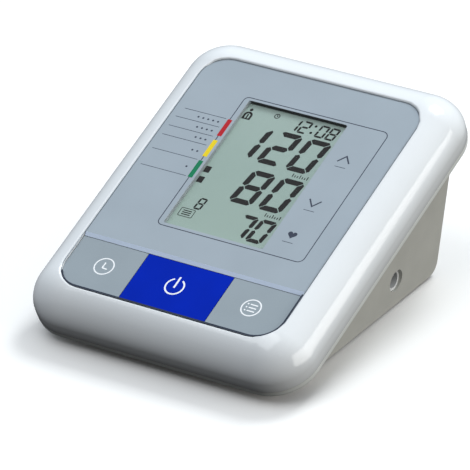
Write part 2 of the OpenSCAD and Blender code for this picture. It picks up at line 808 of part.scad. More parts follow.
module battery_cells() {
    nub = 1;
    color("goldenrod") for (i = [0 : cell_count - 1]) {
        side = i % 2 == 0 ? 1 : -1;
        y = well_rear - 0.2 - cell_pitch * (i + 0.5);
        x = well_x + side * (contact_room / 2 - contact_t - 0.1);
        translate([x, y, cell_low + cell_d / 2]) rotate([0, side * 90, 0]) {
            translate([0, 0, -cell_l / 2]) cylinder(r = cell_d / 2, h = cell_l - nub);
            translate([0, 0, cell_l / 2 - nub - slim]) cylinder(r = 2.7, h = nub + slim);
        }
    }
}

// A coil spring pressed flat by its cell, its turns touching
module pressed_spring(l) {
    turns = 5;
    wire = l / turns;
    rotate_extrude() union() {
        translate([spring_r - wire / 4, 0]) square([wire / 2, l]);
        for (k = [0 : turns - 1])
            translate([spring_r, wire * (k + 0.5)]) circle(r = wire / 2 + slim / 2, $fn = 24);
    }
}

module battery_contacts() {
    color("silver") for (i = [0 : cell_count - 1], s = [-1, 1]) {
        y = well_rear - 0.2 - cell_pitch * (i + 0.5);
        x = well_x + s * (well_w / 2 - contact_t / 2);
        translate([x - contact_t / 2, y - 5, sole_top + 3]) cube([contact_t, 10, 11]);
        springy = i % 2 == 0 ? s < 0 : s > 0;
        if (springy) translate([x, y, cell_low + cell_d / 2]) rotate([0, -s * 90, 0])
            pressed_spring(contact_room - contact_t - 0.4);
    }
}

// Feet and screws
module rubber_feet() {
    color("darkslategray") for (s = [-1, 1], y = [foot_front_y, foot_rear_y])
        translate([s * foot_x, y, 0]) cylinder(r = foot_r, h = foot_h + foot_sink);
}

module screw(shank_r, shank_l, head_r, head_h) {
    difference() {
        union() {
            cylinder(r = head_r, h = head_h);
            cylinder(r = shank_r, h = head_h + shank_l);
        }
        translate([-head_r * 0.6, -0.3, -over]) cube([head_r * 1.2, 0.6, over + head_h / 2]);
        translate([-0.3, -head_r * 0.6, -over]) cube([0.6, head_r * 1.2, over + head_h / 2]);
    }
}

module case_screws() {
    head = 1.6;
    color("silver") on_face() for (p = case_screw_spots)
        translate([p.x, p.y, -case_depth + screw_sink - head]) screw(case_screw_r, 8.5, screw_head_r, head);
}

module board_screws() {
    head = 1.3;
    color("silver") on_face() for (x = [-post_x, post_x], y = post_ys)
        translate([x, y, board_low - head]) screw(board_screw_r, 5.5, 2, head);
}

front_frame();
rear_case();
display_panel();
display_window();
lcd_glass();
lcd_frame();
zebra_strips();
power_key();
clock_key();
memory_key();
tact_switches();
circuit_board();
board_chips();
buzzer();
pressure_sensor();
pump_motor();
pump_head();
pump_cradle();
valve_coil();
valve_yoke();
air_manifold();
air_tubes();
air_socket();
battery_door();
battery_cells();
battery_contacts();
rubber_feet();
case_screws();
board_screws();
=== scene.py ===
import math

import bmesh
import bpy
from mathutils import Matrix, Vector


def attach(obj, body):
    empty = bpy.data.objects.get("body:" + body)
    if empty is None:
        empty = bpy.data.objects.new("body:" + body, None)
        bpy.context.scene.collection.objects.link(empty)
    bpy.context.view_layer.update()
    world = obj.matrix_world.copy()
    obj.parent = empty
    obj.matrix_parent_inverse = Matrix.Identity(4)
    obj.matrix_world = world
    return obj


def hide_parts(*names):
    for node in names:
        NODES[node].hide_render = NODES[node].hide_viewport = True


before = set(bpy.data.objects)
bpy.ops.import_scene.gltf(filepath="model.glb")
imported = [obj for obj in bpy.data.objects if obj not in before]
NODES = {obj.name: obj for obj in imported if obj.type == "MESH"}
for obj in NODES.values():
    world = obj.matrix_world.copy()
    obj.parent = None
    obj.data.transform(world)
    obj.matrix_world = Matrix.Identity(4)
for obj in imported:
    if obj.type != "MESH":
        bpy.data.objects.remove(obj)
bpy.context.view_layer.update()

MM = 0.001
SCENE = bpy.context.scene

# Face frame, as in the CAD, in mm: x to the right, y up the face from the inset's front edge, z out of it
TILT = math.radians(22)
FACE_Y, FACE_Z = -59.7485, 23.4809

# The inset in the face and the rim round it
INSET_W, INSET_L, INSET_R = 92.0, 115.6, 10.0
RIM_SIDE, RIM_FRONT, RIM_REAR, BODY_R = 11.7, 11.0, 13.5, 16.7
RIM_RISE, RIM_A, RIM_B, RIM_POWER, RIM_DEPTH = 0.9, 14.7, 12.4, 1.8, 15.5
RIM_EDGE_R = 0.8
WALL = 2.2
LIP_FOOT = -18.2

# The panel, its window as middle x and y, width and length, the display under it and the keys
PANEL_Y, PANEL_T, BEVEL, FIT_GAP = 22.7, 1.3, 1.3, 0.25
WINDOW = (0.3, 68.0, 41.8, 62.4)
WINDOW_R = 1.2
LCD_Z, KEY_Z = -1.5, -0.8

# Thickness of bold and of fine print, and the width of a thin rule
BOLD_PRINT, FINE_PRINT = 0.03, 0.015
RULE_W = 0.22

# Printed outline round the window: sides, line width, and corner radii from the rear right anticlockwise
OUTLINE_X, OUTLINE_Y, OUTLINE_LINE = (-22.7, 37.9), (35.5, 100.4), 0.34
OUTLINE_R = (2.6, 1.9, 2.1, 2.4)

# Colour bars: name and ends; rules beside them: ends and place; dots between the rules: count and place
BAR_X = (-23.4, -21.55)
BARS = (("red", 80.0, 88.4), ("yellow", 69.5, 77.8), ("green", 58.9, 67.3))
RULES = ((-42.0, -24.2, 88.4), (-43.4, -24.6, 83.9), (-43.6, -24.6, 79.2), (-43.6, -24.6, 74.6),
         (-43.6, -24.2, 67.4), (-43.6, -24.2, 59.1))
DOT_ROWS = ((5, 86.1), (4, 81.5), (3, 76.9), (2, 71.0), (1, 63.2))
DOT_X, DOT_STEP, DOT_R = -26.4, 2.1, 0.42

# Digits of the display: width, height, stroke, gap and slant
BIG_DIGIT = (9.7, 16.3, 2.3, 0.42, 0.135)
PULSE_DIGIT = (6.7, 11.2, 1.65, 0.34, 0.135)
TIME_DIGIT = (3.75, 6.1, 0.82, 0.2, 0.13)
COUNT_DIGIT = (3.1, 5.6, 0.72, 0.2, 0.1)
# Rows of digits: form, middle y, then each digit with its middle x
DIGIT_ROWS = (
    (BIG_DIGIT, 82.95, (("1", -11.1), ("2", 1.05), ("0", 13.2))),
    (BIG_DIGIT, 63.08, (("8", 1.05), ("0", 13.2))),
    (PULSE_DIGIT, 45.6, (("7", 7.25), ("0", 14.85))),
    (TIME_DIGIT, 95.15, (("1", 0.5), ("2", 4.8), ("0", 12.05), ("8", 16.4))),
    (COUNT_DIGIT, 50.4, (("8", -13.4),)),
)
SEGMENTS = {"0": "abcdef", "1": "bc", "2": "abged", "7": "abc", "8": "abcdefg"}
# The reading's places were measured in the panel's plane. The display lies deeper, which moves them by this
READING_SHIFT = (0.555, -0.594)

# Hose socket: middle y and z, where the black sleeve of painted shade in its bore starts and ends, and its
# radii
SOCKET_Y, SOCKET_Z = 18.6565, 11.4
SHADE_SLEEVE_X = (38.32, 44.6)
SHADE_SLEEVE_R, SHADE_SLEEVE_BORE_R, SHADE_SLEEVE_HOLE_R = 3.08, 3.0, 1.2

# Lights: place, size, power and colour; the surround's strength
LIGHT_AIM = Vector((0, 0, 0.03))
LIGHTS = {
    "key_light": ((0.12, 0.9, 1.3), (0.5, 0.5), 10.5, (0.94, 0.98, 1.0)),
    "front_light": ((-0.25, -0.6, 1.5), (1.1, 1.1), 7.5, (0.96, 0.98, 1.0)),
    "side_light": ((1.45, 0.1, 0.4), (1.4, 0.9), 12.5, (1.0, 0.985, 0.94)),
}
WORLD_POWER = 0.82
FLOOR_HALF = 6.0

# Camera, solved from the photograph: place in metres, two directions, lens and sensor in mm
CAMERA_PLACE = (0.76213, -1.15621, 0.75230)
CAMERA_FORWARD = (-0.4906, 0.73725, -0.46451)
CAMERA_UP = (-0.23051, 0.40428, 0.88511)
CAMERA_LENS, CAMERA_SENSOR = 335.39, 36.0


def place(x, y, z):
    """A point of the face frame, in metres in the part's own frame."""
    c, s = math.cos(TILT), math.sin(TILT)
    return Vector((x, FACE_Y + y * c - z * s, FACE_Z + y * s + z * c)) * MM


# Materials
def new_material(name):
    mat = bpy.data.materials.new(name)
    mat.use_nodes = True
    nodes, links = mat.node_tree.nodes, mat.node_tree.links
    nodes.clear()
    out = nodes.new("ShaderNodeOutputMaterial")
    shader = nodes.new("ShaderNodeBsdfPrincipled")
    links.new(shader.outputs[0], out.inputs[0])
    return mat, nodes, links, shader


def noise(nodes, links, scale, detail=3.0, stretch=(1, 1, 1)):
    co = nodes.new("ShaderNodeTexCoord")
    mp = nodes.new("ShaderNodeMapping")
    mp.inputs["Scale"].default_value = stretch
    tx = nodes.new("ShaderNodeTexNoise")
    tx.inputs["Scale"].default_value = scale
    tx.inputs["Detail"].default_value = detail
    links.new(co.outputs["Object"], mp.inputs[0])
    links.new(mp.outputs[0], tx.inputs["Vector"])
    return tx.outputs["Fac"]


def ramp(nodes, links, fac, stops):
    r = nodes.new("ShaderNodeValToRGB")
    first, last = r.color_ramp.elements
    first.position, first.color = stops[0]
    last.position, last.color = stops[-1]
    for pos, col in stops[1:-1]:
        r.color_ramp.elements.new(pos).color = col
    links.new(fac, r.inputs[0])
    return r.outputs[0]


def mixed(nodes, links, fac, a, b, blend="MIX"):
    """Two colours mixed by a number or a socket."""
    mix = nodes.new("ShaderNodeMix")
    mix.data_type = "RGBA"
    mix.blend_type = blend
    if isinstance(fac, float):
        mix.inputs[0].default_value = fac
    else:
        links.new(fac, mix.inputs[0])
    links.new(a, mix.inputs[6])
    links.new(b, mix.inputs[7])
    return mix.outputs[2]


def lin(rgb):
    """An 8-bit sRGB colour as linear RGBA."""
    out = []
    for c in rgb:
        c = c / 255
        out.append(c / 12.92 if c <= 0.04045 else ((c + 0.055) / 1.055) ** 2.4)
    return (*out, 1.0)


def shade(rgb, k):
    return tuple(min(255, c * k) for c in rgb)


def drift_colour(nodes, links, drift, rgb, spread):
    """A colour that drifts a little either way with a noise."""
    return ramp(nodes, links, drift, [(0.3, lin(shade(rgb, 1 - spread))), (0.7, lin(shade(rgb, 1 + spread)))])


def plastic(name, rgb, rough=0.4, spread=0.02, mottle=60, grain=0.0, grain_scale=1500, coat=0.0,
            rough_spread=0.06, specular=0.5, metallic=0.0, stretch=(1, 1, 1)):
    """A moulded or printed surface: slight colour drift, uneven gloss and a fine moulded grain."""
    mat, nodes, links, shader = new_material(name)
    drift = noise(nodes, links, mottle, 2.0, stretch)
    links.new(drift_colour(nodes, links, drift, rgb, spread), shader.inputs["Base Color"])
    fine = noise(nodes, links, mottle * 6, 4.0, stretch)
    gloss = nodes.new("ShaderNodeMapRange")
    gloss.inputs["To Min"].default_value = max(0.02, rough - rough_spread)
    gloss.inputs["To Max"].default_value = min(1.0, rough + rough_spread)
    links.new(fine, gloss.inputs[0])
    links.new(gloss.outputs[0], shader.inputs["Roughness"])
    shader.inputs["Specular IOR Level"].default_value = specular
    shader.inputs["Metallic"].default_value = metallic
    if coat:
        shader.inputs["Coat Weight"].default_value = coat
        shader.inputs["Coat Roughness"].default_value = 0.04
    if grain:
        tx = noise(nodes, links, grain_scale, 2.0, stretch)
        bump = nodes.new("ShaderNodeBump")
        bump.inputs["Strength"].default_value = grain
        bump.inputs["Distance"].default_value = 0.00005
        links.new(tx, bump.inputs["Height"])
        links.new(bump.outputs[0], shader.inputs["Normal"])
    return mat


def case_material():
    """The rear housing: a warm grey base, and the lip under the rim painted a paler grey, as painted light on
    the lip.
    """
    base_grey, lip_lit_grey, lip_spread = (199, 199, 192), (226, 229, 226), 0.015
    mat = plastic("grey_case", base_grey, 0.52, 0.015, 90, 0.5, 2600)
    nodes, links = mat.node_tree.nodes, mat.node_tree.links
    shader = next(n for n in nodes if n.type == "BSDF_PRINCIPLED")
    base = shader.inputs["Base Color"].links[0].from_socket
    drift = base.node.inputs[0].links[0].from_socket
    lip = drift_colour(nodes, links, drift, lip_lit_grey, lip_spread)
    co = nodes.new("ShaderNodeTexCoord")
    depth = nodes.new("ShaderNodeVectorMath")
    depth.operation = "DOT_PRODUCT"
    depth.inputs[1].default_value = (0, -math.sin(TILT), math.cos(TILT))
    links.new(co.outputs["Object"], depth.inputs[0])
    # Painted light: above LIP_FOOT the lip takes the paler grey
    above = nodes.new("ShaderNodeMath")
    above.operation = "GREATER_THAN"
    above.inputs[1].default_value = (LIP_FOOT - FACE_Y * math.sin(TILT) + FACE_Z * math.cos(TILT)) * MM
    links.new(depth.outputs["Value"], above.inputs[0])
    links.new(mixed(nodes, links, above.outputs[0], base, lip), shader.inputs["Base Color"])
    return mat


def window_material():
    """Clear acrylic, with a slight tint."""
    mat, nodes, links, shader = new_material("clear_window")
    drift = noise(nodes, links, 20, 2.0)
    links.new(ramp(nodes, links, drift, [(0.3, lin((236, 244, 240))), (0.7, lin((246, 250, 248)))]),
              shader.inputs["Base Color"])
    shader.inputs["Roughness"].default_value = 0.05
    shader.inputs["Specular IOR Level"].default_value = 0.3
    shader.inputs["Alpha"].default_value = 0.012
    return mat


def lcd_material():
    """Liquid crystal glass: a grey-green field with a painted sheen that makes it a little paler at the top,
    and a fine pixel haze.
    """
    mat, nodes, links, shader = new_material("lcd")
    co = nodes.new("ShaderNodeTexCoord")
    sep = nodes.new("ShaderNodeSeparateXYZ")
    links.new(co.outputs["Object"], sep.inputs[0])
    # Height up the display, for the painted sheen that pales the field towards the top
    up = nodes.new("ShaderNodeMapRange")
    up.inputs["From Min"].default_value = -0.025
    up.inputs["From Max"].default_value = 0.035
    links.new(sep.outputs[1], up.inputs[0])
    field = ramp(nodes, links, up.outputs[0],
                 [(0.0, lin((152, 172, 162))), (0.5, lin((150, 171, 162))), (1.0, lin((158, 177, 169)))])
    haze = noise(nodes, links, 900, 3.0)
    links.new(mixed(nodes, links, 0.06, field, haze, "MULTIPLY"), shader.inputs["Base Color"])
    shader.inputs["Roughness"].default_value = 0.35
    return mat


MAT = {
    "white": plastic("white_gloss", (232, 235, 237), 0.16, 0.006, 30, 0.04, 400, coat=0.5, rough_spread=0.03),
    "case": case_material(),
    "panel": plastic("panel_grey", (161, 172, 181), 0.42, 0.012, 50, 0.25, 3000, specular=0.3),
    "key": plastic("key_grey", (151, 162, 169), 0.45, 0.012, 60, 0.3, 3000, specular=0.3),
    "blue": plastic("blue_key", (1, 38, 174), 0.5, 0.03, 60, 0.25, 3000, specular=0.03),
    "print": plastic("print_dark", (58, 64, 80), 0.5, 0.03, 200, specular=0.2),
    "print_white": plastic("print_white", (248, 250, 252), 0.45, 0.01, 200),
    "red": plastic("print_red", (180, 26, 38), 0.5, 0.02, 200, specular=0.2),
    "yellow": plastic("print_yellow", (236, 208, 30), 0.5, 0.02, 200, specular=0.2),
    "green": plastic("print_green", (10, 122, 82), 0.5, 0.02, 200, specular=0.2),
    # Pale bluish painted highlight on the panel's step down to the keys
    "bevel": plastic("panel_edge_highlight", (214, 228, 248), 0.35, 0.01, 100),
    "window": window_material(),
    "lcd": lcd_material(),
    "segment": plastic("lcd_segment", (30, 27, 28), 0.6, 0.05, 200, specular=0.03),
    "liner": plastic("window_liner", (156, 164, 168), 0.6, 0.03, 100),
    # Black standing for painted shade: the cut-out's upper wall and the socket's deep bore
    "shade_black": plastic("painted_shade_black", (20, 22, 24), 0.6, 0.03, 100, specular=0.2),
    "seal": plastic("inset_seal", (150, 158, 166), 0.6, 0.03, 100, specular=0.2),
    # Dark painted shade for the gap along the keys' front
    "key_gap_shade": plastic("key_gap_shade", (54, 60, 74), 0.6, 0.03, 100, specular=0.1),
    "rubber": plastic("dark_rubber", (38, 38, 38), 0.75, 0.05, 100, 0.3, 1500),
    "inner": plastic("white_inner", (214, 214, 208), 0.5, 0.015, 60, 0.2),
    "black": plastic("black_plastic", (34, 34, 36), 0.45, 0.05, 80, 0.2),
    "board": plastic("board_green", (26, 92, 48), 0.35, 0.08, 400, 0.2, 900),
    "steel": plastic("motor_steel", (176, 178, 180), 0.32, 0.03, 200, 0.25, 900, metallic=1.0,
                     stretch=(1, 12, 12)),
    "can": plastic("sensor_metal", (186, 188, 190), 0.28, 0.02, 200, 0.1, 900, metallic=1.0),
    "copper": plastic("coil_copper", (168, 92, 48), 0.35, 0.06, 300, 0.5, 1200, metallic=1.0,
                      stretch=(1, 20, 1)),
    "tube": plastic("tube_rubber", (206, 208, 202), 0.35, 0.02, 60, 0.1),
    "socket": plastic("socket_grey", (236, 238, 238), 0.22, 0.02, 100, 0.15),
    "cell": plastic("cell_wrap", (70, 74, 82), 0.28, 0.04, 60, 0.1, metallic=0.3),
    "nickel": plastic("contact_nickel", (200, 198, 190), 0.22, 0.02, 200, 0.1, metallic=1.0),
    "screw": plastic("screw_steel", (176, 176, 176), 0.3, 0.03, 300, 0.2, metallic=1.0),
}

NODE_MATERIAL = {
    "front_frame": "white", "rear_case": "case", "display_panel": "panel", "display_window": "window",
    "lcd_glass": "lcd", "lcd_frame": "inner", "zebra_strips": "rubber", "power_key": "blue",
    "clock_key": "key", "memory_key": "key", "tact_switches": "black", "circuit_board": "board",
    "board_chips": "black", "buzzer": "black", "pressure_sensor": "can", "pump_motor": "steel",
    "pump_head": "black", "pump_cradle": "rubber", "valve_coil": "copper", "valve_yoke": "steel",
    "air_manifold": "inner", "air_tubes": "tube", "air_socket": "socket", "battery_door": "case",
    "battery_cells": "cell", "battery_contacts": "nickel", "rubber_feet": "rubber", "case_screws": "screw",
    "board_screws": "screw",
}
SMOOTH_NODES = ("rear_case", "battery_door", "power_key", "clock_key", "memory_key", "display_panel",
                "air_socket", "battery_cells", "rubber_feet")


def smooth_node(obj, angle=28):
    """Soft shading on a CAD node by modifiers: its faces are joined, split at real edges and averaged."""
    weld = obj.modifiers.new("weld", "WELD")
    weld.merge_threshold = 1e-7
    split = obj.modifiers.new("split", "EDGE_SPLIT")
    split.split_angle = math.radians(angle)
    split.use_edge_sharp = False
    normal = obj.modifiers.new("normal", "WEIGHTED_NORMAL")
    normal.mode = "FACE_AREA"
    normal.weight = 60


def dress_nodes():
    for name, obj in NODES.items():
        obj.data.materials.clear()
        obj.data.materials.append(MAT[NODE_MATERIAL[name]])
    for name in SMOOTH_NODES:
        smooth_node(NODES[name])


# Mesh helpers
def make(name, verts, faces, material, body, smooth=None):
    """A new piece that rides on a body. With smooth, edges under that many degrees are shaded softly."""
    mesh = bpy.data.meshes.new(name)
    mesh.from_pydata([tuple(v) for v in verts], [], faces)
    mesh.materials.append(MAT[material])
    obj = bpy.data.objects.new(name, mesh)
    SCENE.collection.objects.link(obj)
    bm = bmesh.new()
    bm.from_mesh(mesh)
    bmesh.ops.remove_doubles(bm, verts=bm.verts, dist=1e-7)
    bmesh.ops.recalc_face_normals(bm, faces=bm.faces)
    bm.to_mesh(mesh)
    bm.free()
    if smooth:
        for p in mesh.polygons:
            p.use_smooth = True
        mesh.set_sharp_from_angle(angle=math.radians(smooth))
    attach(obj, body)
    return obj


def plates(name, outlines, z, material, body, thick):
    """Flat shapes on the face: each outline is a closed list of (x, y), or a pair (outer, inner)."""
    verts, faces = [], []

    def loop(points, height):
        start = len(verts)
        verts.extend(place(x, y, z + height) for x, y in points)
        return list(range(start, start + len(points)))

    for shape in outlines:
        if isinstance(shape, tuple):
            outer, inner = shape
            n = len(outer)
            a, b = loop(outer, thick), loop(inner, thick)
            c, d = loop(outer, 0), loop(inner, 0)
            for i in range(n):
                j = (i + 1) % n
                faces += [(a[i], a[j], b[j], b[i]), (c[j], c[i], d[i], d[j]),
                          (c[i], c[j], a[j], a[i]), (b[i], b[j], d[j], d[i])]
        else:
            n = len(shape)
            a, c = loop(shape, thick), loop(shape, 0)
            faces += [tuple(a), tuple(reversed(c))]
            for i in range(n):
                j = (i + 1) % n
                faces.append((c[i], c[j], a[j], a[i]))
    return make(name, verts, faces, material, body)


# Outlines
def arc(cx, cy, r, a0, a1, n):
    """Points on an arc, both ends included."""
    return [(cx + r * math.cos(math.radians(a0 + (a1 - a0) * i / n)),
             cy + r * math.sin(math.radians(a0 + (a1 - a0) * i / n))) for i in range(n + 1)]


def dot(cx, cy, r):
    """A small filled disc."""
    return arc(cx, cy, r, 0, 348, 15)


def ring(cx, cy, r, w, n=64):
    """A ring as a pair of circles."""
    return tuple(arc(cx, cy, r + side * w / 2, 0, 360 * (n - 1) / n, n - 1) for side in (1, -1))


def rounded(x0, x1, y0, y1, r, n=10):
    """A rectangle with one corner radius, or four from the rear right corner anticlockwise."""
    tr, tl, bl, br = r if isinstance(r, tuple) else (r, r, r, r)
    return (arc(x1 - tr, y1 - tr, tr, 0, 90, n) + arc(x0 + tl, y1 - tl, tl, 90, 180, n)
            + arc(x0 + bl, y0 + bl, bl, 180, 270, n) + arc(x1 - br, y0 + br, br, 270, 360, n))


def line(x0, y0, x1, y1, w):
    dx, dy = x1 - x0, y1 - y0
    k = w / 2 / math.hypot(dx, dy)
    nx, ny = -dy * k, dx * k
    return [(x0 + nx, y0 + ny), (x0 - nx, y0 - ny), (x1 - nx, y1 - ny), (x1 + nx, y1 + ny)]


def level_line(x0, x1, y, w):
    return line(x0, y, x1, y, w)


def stroke(points, w):
    """A stroke of even width along points, with mitred joints."""
    left, right = [], []
    for i, (x, y) in enumerate(points):
        before, after = max(i, 1), min(i, len(points) - 2)
        p = (Vector(points[before]) - Vector(points[before - 1])).normalized()
        q = (Vector(points[after + 1]) - Vector(points[after])).normalized()
        t = (p + q).normalized()
        m = Vector((-t.y, t.x))
        k = w / 2 / max(0.5, m.dot(Vector((-p.y, p.x))))
        left.append((x + m.x * k, y + m.y * k))
        right.append((x - m.x * k, y - m.y * k))
    return left + right[::-1]


def heart(cx, cy, s, n=40):
    """The usual heart curve, s wide."""
    pts = []
    for i in range(n):
        t = 2 * math.pi * i / n
        across = 16 * math.sin(t) ** 3
        along = 13 * math.cos(t) - 5 * math.cos(2 * t) - 2 * math.cos(3 * t) - math.cos(4 * t)
        pts.append((cx + s * across / 32, cy + s * along / 32))
    return pts


# The rim: one smooth moulding
def rim_height(d):
    """Height of the pillow at a distance in from the rim's outline."""
    if d >= RIM_A:
        return RIM_RISE
    t = math.acos(min(1.0, (1 - d / RIM_A) ** (RIM_POWER / 2)))
    return RIM_RISE - RIM_B * (1 - math.sin(t) ** (2 / RIM_POWER))


def inset_distance(x, y):
    """Signed distance from the inset's outline, negative inside it."""
    hx, hy, cy = INSET_W / 2 - INSET_R, INSET_L / 2 - INSET_R, INSET_L / 2
    qx, qy = abs(x) - hx, abs(y - cy) - hy
    return math.hypot(max(qx, 0), max(qy, 0)) + min(max(qx, qy), 0) - INSET_R


def rim_outline(corner_steps=28, side_steps=30):
    """Points on the rim's outer outline with their inward normals."""
    hw, r = INSET_W / 2 + RIM_SIDE, BODY_R
    y0, y1 = -RIM_FRONT, INSET_L + RIM_REAR
    pts = []
    corners = [(hw - r, y1 - r, 0), (-hw + r, y1 - r, 90), (-hw + r, y0 + r, 180), (hw - r, y0 + r, 270)]
    for k, (cx, cy, a0) in enumerate(corners):
        for i in range(corner_steps + 1):
            a = math.radians(a0 + 90 * i / corner_steps)
            pts.append((cx + r * math.cos(a), cy + r * math.sin(a), -math.cos(a), -math.sin(a)))
        nx, ny, _ = corners[(k + 1) % 4]
        a = math.radians(a0 + 90)
        sx, sy = cx + r * math.cos(a), cy + r * math.sin(a)
        ex, ey = nx + r * math.cos(a), ny + r * math.sin(a)
        for i in range(1, side_steps):
            t = i / side_steps
            pts.append((sx + (ex - sx) * t, sy + (ey - sy) * t, -math.cos(a), -math.sin(a)))
    return pts


def rim_width(x, y, nx, ny):
    """How far in from a point of the outline the inset begins, found by halving."""
    lo, hi = 5.0, 16.6
    for _ in range(40):
        mid = (lo + hi) / 2
        if inset_distance(x + nx * mid, y + ny * mid) > 0:
            lo = mid
        else:
            hi = mid
    return lo


def rim_section(width, edge_steps=8, pillow_steps=44):
    """The rim's section as (distance in, height): inner wall, rounded edge, pillow, skirt and inside."""
    edge, lean = width - RIM_EDGE_R, 0.0
    for _ in range(5):
        lean = math.atan((rim_height(edge + 0.01) - rim_height(edge - 0.01)) / 0.02)
        edge = width - RIM_EDGE_R * (1 + math.sin(lean))
    centre = rim_height(edge) - RIM_EDGE_R * math.cos(lean)
    section = [(width, -3.6), (width, -1.5)]
    for i in range(edge_steps + 1):
        a = (math.pi / 2 + lean) * i / edge_steps
        section.append((width - RIM_EDGE_R * (1 - math.cos(a)), centre + RIM_EDGE_R * math.sin(a)))
    t_edge = math.acos(min(1.0, max(0.0, (1 - min(edge, RIM_A) / RIM_A)) ** (RIM_POWER / 2)))
    pillow = []
    for i in range(1, pillow_steps + 1):
        t = t_edge * (1 - i / pillow_steps)
        pillow.append((RIM_A * (1 - math.cos(t) ** (2 / RIM_POWER)),
                       RIM_RISE - RIM_B * (1 - math.sin(t) ** (2 / RIM_POWER))))
    crest = RIM_A if edge > RIM_A else (edge + pillow[0][0]) / 2
    section += [(crest, rim_height(crest))] + pillow
    section += [(0.0, -13.0), (0.0, 0.35 - RIM_DEPTH), (0.1, 0.1 - RIM_DEPTH), (0.35, -RIM_DEPTH)]
    section += [(WALL, -RIM_DEPTH), (WALL, -12.5), (3.4, -8.0), (6.0, -4.6)]
    return section


def build_rim():
    """The section swept round the outline, in place of the CAD's front frame."""
    columns = []
    for x, y, nx, ny in rim_outline():
        section = rim_section(rim_width(x, y, nx, ny))
        columns.append([place(x + nx * d, y + ny * d, z) for d, z in section])
    n, m = len(columns), len(columns[0])
    verts = [point for column in columns for point in column]
    faces = []
    for i in range(n):
        j = (i + 1) % n
        for k in range(m - 1):
            faces.append((i * m + k, j * m + k, j * m + k + 1, i * m + k + 1))
    rim = make("rim_moulding", verts, faces, "white", "housing", 50)
    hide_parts("front_frame")


# Print on the panel, and a painted highlight on its step
def panel_bevel():
    """A pale strip on the slope where the panel steps down to the keys: a painted highlight."""
    half, lift, foot = INSET_W / 2 - FIT_GAP, 0.02, 0.03
    y0, y1 = PANEL_Y - foot, PANEL_Y + BEVEL
    top = [place(-half, y1, lift), place(half, y1, lift)]
    low = [place(half, y0, KEY_Z + lift), place(-half, y0, KEY_Z + lift)]
    back = [place(-half, y1, -0.3), place(half, y1, -0.3)]
    make("panel_bevel", top + low + back, [(3, 2, 1, 0), (0, 1, 5, 4), (4, 5, 2, 3)], "bevel", "housing")


def panel_print():
    """The line round the window, the colour scale with its rules and dots, and the reading marks."""
    (x0, x1), (y0, y1), half = OUTLINE_X, OUTLINE_Y, OUTLINE_LINE / 2
    outer, inner = (rounded(x0 - k, x1 + k, y0 - k, y1 + k, tuple(r + k for r in OUTLINE_R))
                    for k in (half, -half))
    plates("display_outline", [(outer, inner)], 0, "print", "housing", FINE_PRINT)
    for name, y0, y1 in BARS:
        plates("bar_" + name, [rounded(*BAR_X, y0, y1, 0.12, 3)], 0, name, "housing", BOLD_PRINT)
    plates("scale_rules", [level_line(*rule, RULE_W) for rule in RULES], 0, "print", "housing", FINE_PRINT)
    dots = [dot(DOT_X - DOT_STEP * i, y, DOT_R) for count, y in DOT_ROWS for i in range(count)]
    plates("scale_dots", dots, 0, "print", "housing", FINE_PRINT)
    # Up for the high reading, down for the low one and a heart for the pulse, each over a rule
    arrow_w = 0.55
    mark_rules = ((26.2, 30.6, 80.2), (25.8, 30.2, 58.2), (25.8, 30.2, 42.6))
    marks = [stroke([(26.0, 82.5), (28.4, 85.6), (30.8, 82.5)], arrow_w),
             stroke([(25.6, 63.4), (28.0, 60.3), (30.4, 63.4)], arrow_w), heart(28.0, 46.2, 3.6)]
    marks += [level_line(*rule, RULE_W) for rule in mark_rules]
    plates("reading_marks", marks, 0, "print", "housing", FINE_PRINT)


def key_symbols():
    """A clock, a power sign and a list, each in a ring."""
    line_w, hand_w, power_w = 0.5, 0.55, 0.62
    clock = [ring(-30.9, 12.0, 3.66, line_w)]
    clock += [stroke([(-31.15, 13.75), (-31.25, 11.25), (-29.2, 11.05)], hand_w)]
    plates("clock_symbol", clock, KEY_Z, "print_white", "clock_button", BOLD_PRINT)
    power = [stroke(arc(-1.08, 11.95, 3.5, 118, 422, 48), power_w), rounded(-1.44, -0.72, 11.3, 16.5, 0.2, 3)]
    plates("power_symbol", power, KEY_Z, "print_white", "power_button", BOLD_PRINT)
    rows = (13.5, 12.05, 10.6)
    items = [ring(30.55, 12.05, 3.62, line_w)] + [level_line(29.6, 32.6, y, line_w) for y in rows]
    items += [rounded(28.4, 29.0, y - 0.3, y + 0.3, 0.1, 2) for y in rows]
    plates("memory_symbol", items, KEY_Z, "print_white", "memory_button", BOLD_PRINT)


# The display's reading
def digit(char, cx, cy, w, h, t, gap, slant):
    """Seven-segment digit with mitred segments, centred at mid height."""
    x0, x1, y1 = -w / 2, w / 2, h / 2
    g, half = gap / 2, t / 2
    cut = 0.6 * t
    mid = cut / 2
    shapes = {
        "a": [(x0 + cut + g, y1), (x1 - cut - g, y1), (x1 - mid - g, y1 - mid), (x1 - t - g, y1 - t),
              (x0 + t + g, y1 - t), (x0 + mid + g, y1 - mid)],
        "g": [(x0 + 0.62 * t + g, 0), (x0 + t + g, half), (x1 - t - g, half), (x1 - 0.62 * t - g, 0),
              (x1 - t - g, -half), (x0 + t + g, -half)],
        "f": [(x0, y1 - cut - g), (x0 + mid, y1 - mid - g), (x0 + t, y1 - t - g), (x0 + t, half + g),
              (x0 + 0.55 * t, g), (x0, 0.28 * t + g)],
    }
    shapes["d"] = [(x, -y) for x, y in shapes["a"]]
    shapes["e"] = [(x, -y) for x, y in shapes["f"]]
    shapes["b"] = [(-x, y) for x, y in shapes["f"]]
    shapes["c"] = [(-x, y) for x, y in shapes["e"]]
    return [[(cx + x + slant * y, cy + y) for x, y in shapes[s]] for s in SEGMENTS[char]]


